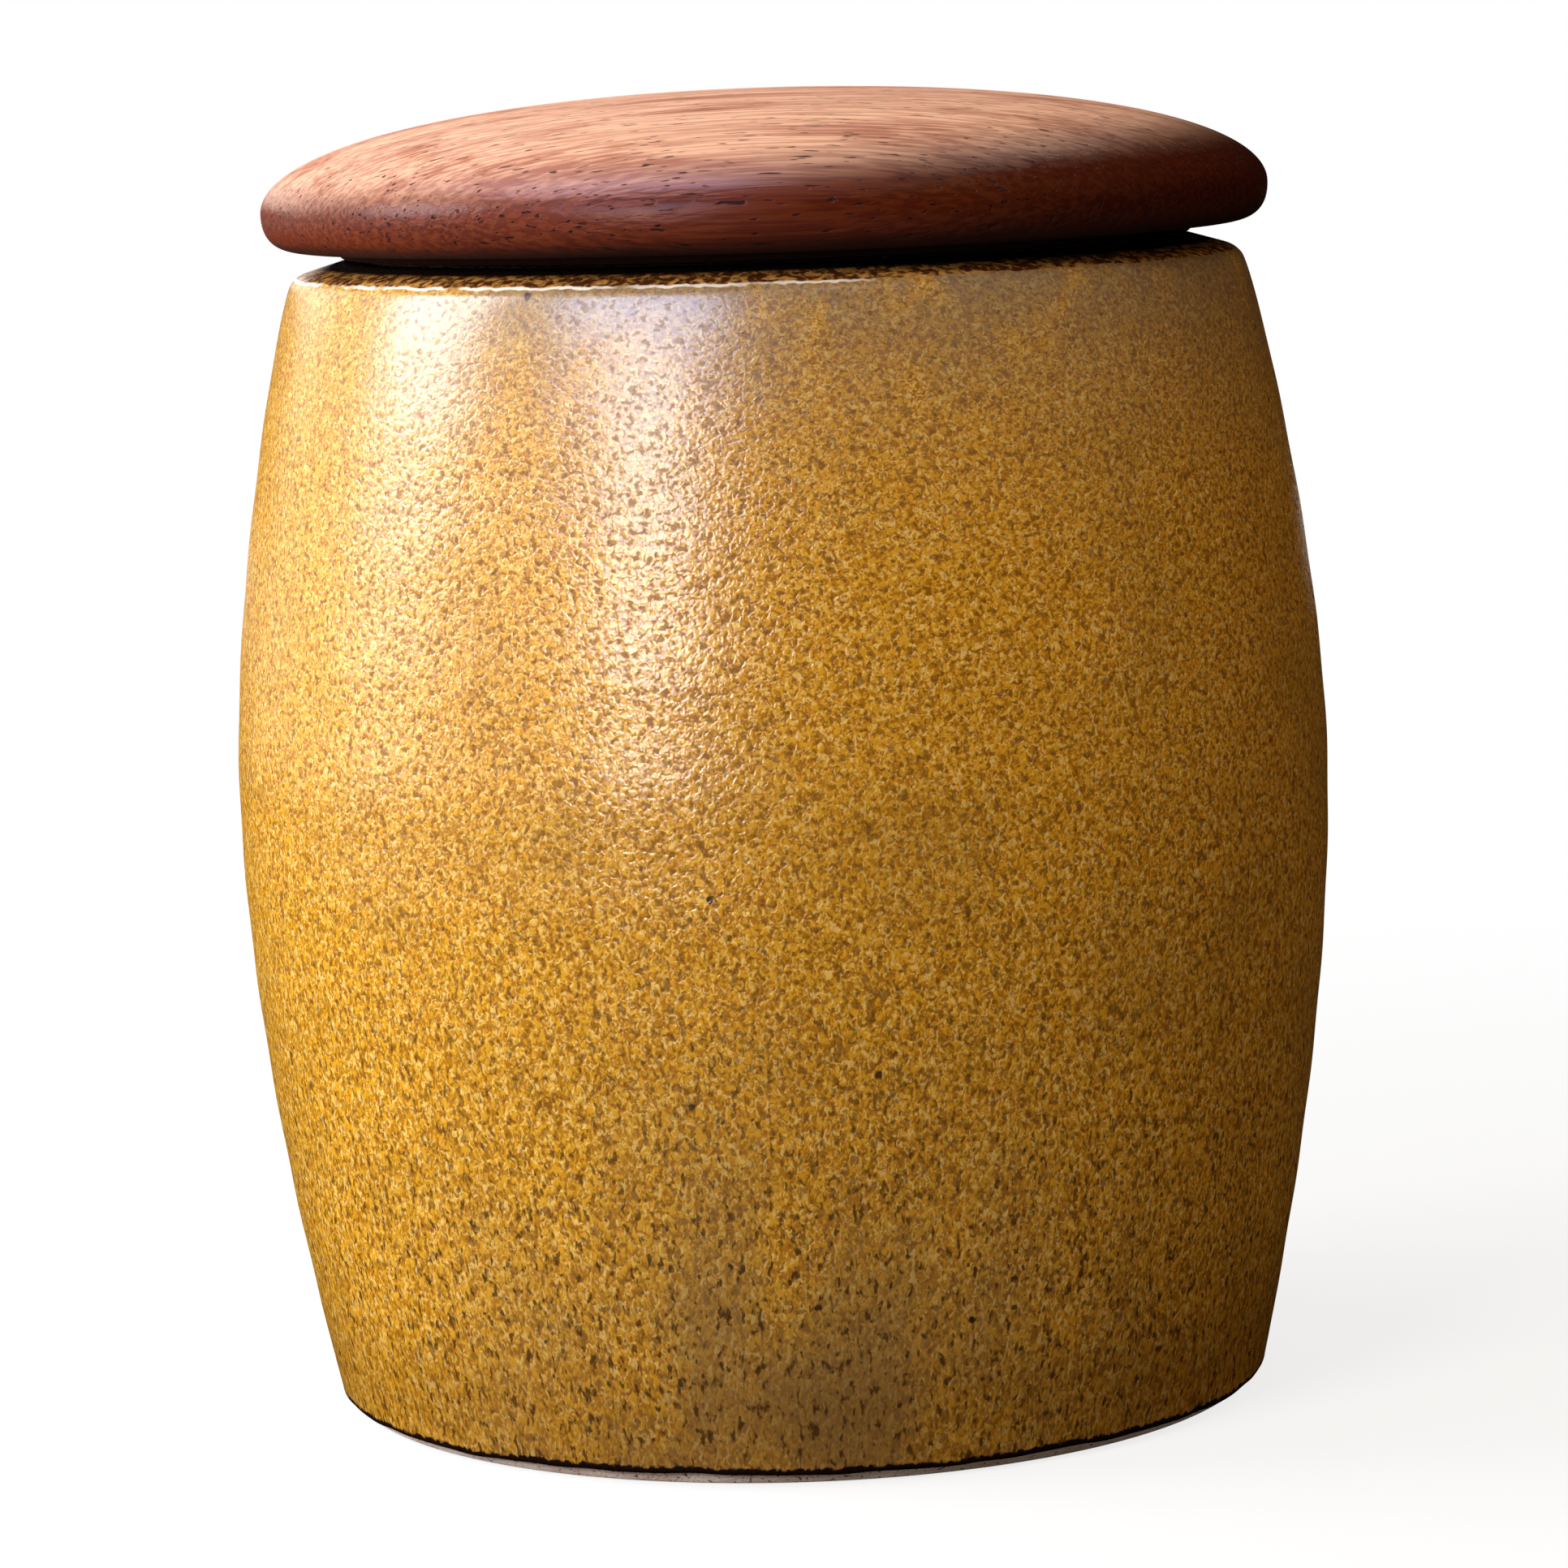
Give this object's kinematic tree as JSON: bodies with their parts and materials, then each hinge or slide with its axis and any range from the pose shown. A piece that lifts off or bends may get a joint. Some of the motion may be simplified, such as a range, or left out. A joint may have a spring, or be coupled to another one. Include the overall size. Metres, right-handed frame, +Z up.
{
  "type": "tobacco jar",
  "caption": "Barrel-shaped glazed stoneware jar with a turned hardwood lid whose sealed plug carries a perforated brass humidifier, to keep pipe tobacco moist.",
  "frame": {"origin": "centre of the foot ring, on the surface that the jar stands on", "axes": "+Z up along the jar's turning axis, -Y towards the viewer of the picture, +X to the viewer's right"},
  "size_m": [0.1258, 0.1258, 0.15],
  "materials": {
    "stoneware": "semi-gloss mottled ochre glaze over pale stoneware, bare at the foot",
    "lid_wood": "turned and oiled reddish-brown hardwood",
    "plug_wood": "turned hardwood, left matt",
    "seal_rubber": "matt moulded rubber",
    "screw_brass": "machined and slightly dulled",
    "cup_brass": "drawn sheet, slightly dulled",
    "pad_felt": "pressed absorbent felt"
  },
  "bodies": {
    "jar": {"jar_body": "stoneware"},
    "seal": {"seal_ring": "seal_rubber"},
    "lid": {"lid_cap": "lid_wood", "lid_plug": "plug_wood", "plug_screw_1": "screw_brass", "plug_screw_2": "screw_brass", "plug_screw_3": "screw_brass"},
    "humidifier": {"humidifier_cup": "cup_brass", "humidifier_cover": "cup_brass", "humidifier_pad": "pad_felt"}
  },
  "joints": [
    {"name": "lid_lift", "type": "slide", "parent": "jar", "child": "seal", "axis": [0, 0, 1], "range_m": [0, 0.1]},
    {"name": "lid_turn", "type": "hinge", "parent": "seal", "child": "lid", "pos_m": [0, 0, 0.1323], "axis": [0, 0, 1], "continuous": true},
    {"name": "humidifier_pull", "type": "slide", "parent": "lid", "child": "humidifier", "axis": [0, 0, -1], "range_m": [0, 0.03]}
  ]
}
